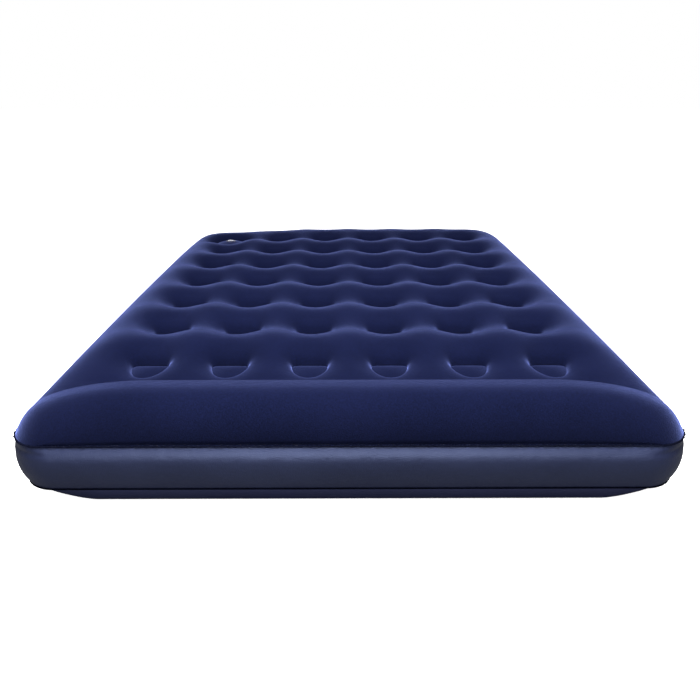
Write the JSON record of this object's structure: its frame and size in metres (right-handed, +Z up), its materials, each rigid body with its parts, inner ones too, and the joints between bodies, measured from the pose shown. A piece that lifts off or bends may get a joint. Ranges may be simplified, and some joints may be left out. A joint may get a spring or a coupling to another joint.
{
  "type": "air mattress",
  "caption": "Double-size flocked air bed with a dimpled coil top, an integral pillow roll, a built-in foot pump and a screw valve in the foot end.",
  "frame": {"origin": "on the floor under the middle of the bed's length and width", "axes": "+Z up, +Y along the length from the pillow end to the foot end, +X to the right of someone at the pillow end who looks along the bed"},
  "size_m": [1.37, 1.91, 0.28],
  "materials": {
    "flocked_top": "navy flocked PVC, velvety",
    "band_pvc": "semi-gloss navy PVC sheet",
    "bottom_pvc": "satin navy PVC sheet with a fine emboss",
    "inner_pvc": "plain PVC",
    "foam": "open-cell foam",
    "inlet_plastic": "glossy pale plastic",
    "valve_plastic": "glossy dark blue plastic",
    "valve_rubber": "matt"
  },
  "bodies": {
    "bed": {"top_sheet": "flocked_top", "side_band": "band_pvc", "bottom_sheet": "bottom_pvc", "pillow_wall": "inner_pvc", "pump_cup": "inner_pvc", "pump_foam": "foam", "outlet_seat": "valve_plastic", "valve_base": "valve_plastic", "coil_r1c1": "inner_pvc", "coil_r1c2": "inner_pvc", "coil_r1c3": "inner_pvc", "coil_r1c4": "inner_pvc", "coil_r1c5": "inner_pvc", "coil_r1c6": "inner_pvc", "coil_r2c1": "inner_pvc", "coil_r2c2": "inner_pvc", "coil_r2c3": "inner_pvc", "coil_r2c4": "inner_pvc", "coil_r2c5": "inner_pvc", "coil_r2c6": "inner_pvc", "coil_r3c1": "inner_pvc", "coil_r3c2": "inner_pvc", "coil_r3c3": "inner_pvc", "coil_r3c4": "inner_pvc", "coil_r3c5": "inner_pvc", "coil_r3c6": "inner_pvc", "coil_r4c1": "inner_pvc", "coil_r4c2": "inner_pvc", "coil_r4c3": "inner_pvc", "coil_r4c4": "inner_pvc", "coil_r4c5": "inner_pvc", "coil_r4c6": "inner_pvc", "coil_r5c1": "inner_pvc", "coil_r5c2": "inner_pvc", "coil_r5c3": "inner_pvc", "coil_r5c4": "inner_pvc", "coil_r5c5": "inner_pvc", "coil_r5c6": "inner_pvc", "coil_r6c1": "inner_pvc", "coil_r6c2": "inner_pvc", "coil_r6c3": "inner_pvc", "coil_r6c4": "inner_pvc", "coil_r6c5": "inner_pvc", "coil_r6c6": "inner_pvc", "coil_r7c2": "inner_pvc", "coil_r7c3": "inner_pvc", "coil_r7c4": "inner_pvc", "coil_r7c5": "inner_pvc", "coil_r7c6": "inner_pvc"},
    "pump": {"pump_dome": "flocked_top", "inlet_seat": "inlet_plastic"},
    "inlet_cap": {"inlet_cap": "inlet_plastic"},
    "outlet_flap": {"outlet_flap": "valve_rubber"},
    "valve_seal": {"valve_seal": "valve_rubber"},
    "valve_collar": {"valve_collar": "valve_plastic"},
    "valve_cap": {"valve_cap": "valve_plastic"},
    "valve_flap": {"valve_flap": "valve_rubber"}
  },
  "joints": [
    {"name": "pump_press", "type": "slide", "parent": "bed", "child": "pump", "axis": [0, 0, -1], "range_m": [0, 0.045], "stiffness_N_per_m": 600, "springref_m": -0.003, "deforming": ["pump_foam"]},
    {"name": "inlet_cap_hinge", "type": "hinge", "parent": "pump", "child": "inlet_cap", "pos_m": [-0.485, 0.741, 0.2217], "axis": [0, 1, 0], "range_deg": [0, 150]},
    {"name": "outlet_flap_hinge", "type": "hinge", "parent": "bed", "child": "outlet_flap", "pos_m": [-0.49, 0.741, 0.0706], "axis": [0, -1, 0], "range_deg": [0, 40], "stiffness_Nm_per_rad": 0.004, "springref_deg": -11.46},
    {"name": "valve_lift", "type": "slide", "parent": "bed", "child": "valve_seal", "axis": [0, 1, 0], "range_m": [0, 0.0085]},
    {"name": "valve_turn", "type": "hinge", "parent": "valve_seal", "child": "valve_collar", "pos_m": [-0.34, 0.955, 0.15], "axis": [0, 1, 0], "range_deg": [0, 765]},
    {"name": "valve_cap_hinge", "type": "hinge", "parent": "valve_collar", "child": "valve_cap", "pos_m": [-0.34, 0.955, 0.1715], "axis": [1, 0, 0], "range_deg": [0, 150]},
    {"name": "valve_flap_hinge", "type": "hinge", "parent": "valve_collar", "child": "valve_flap", "pos_m": [-0.34, 0.936, 0.166], "axis": [-1, 0, 0], "range_deg": [0, 45], "stiffness_Nm_per_rad": 0.003, "springref_deg": -11.46}
  ],
  "couplings": [
    {"joint": "valve_lift", "follows": "valve_turn", "m_per_rad": 0.00063662}
  ]
}
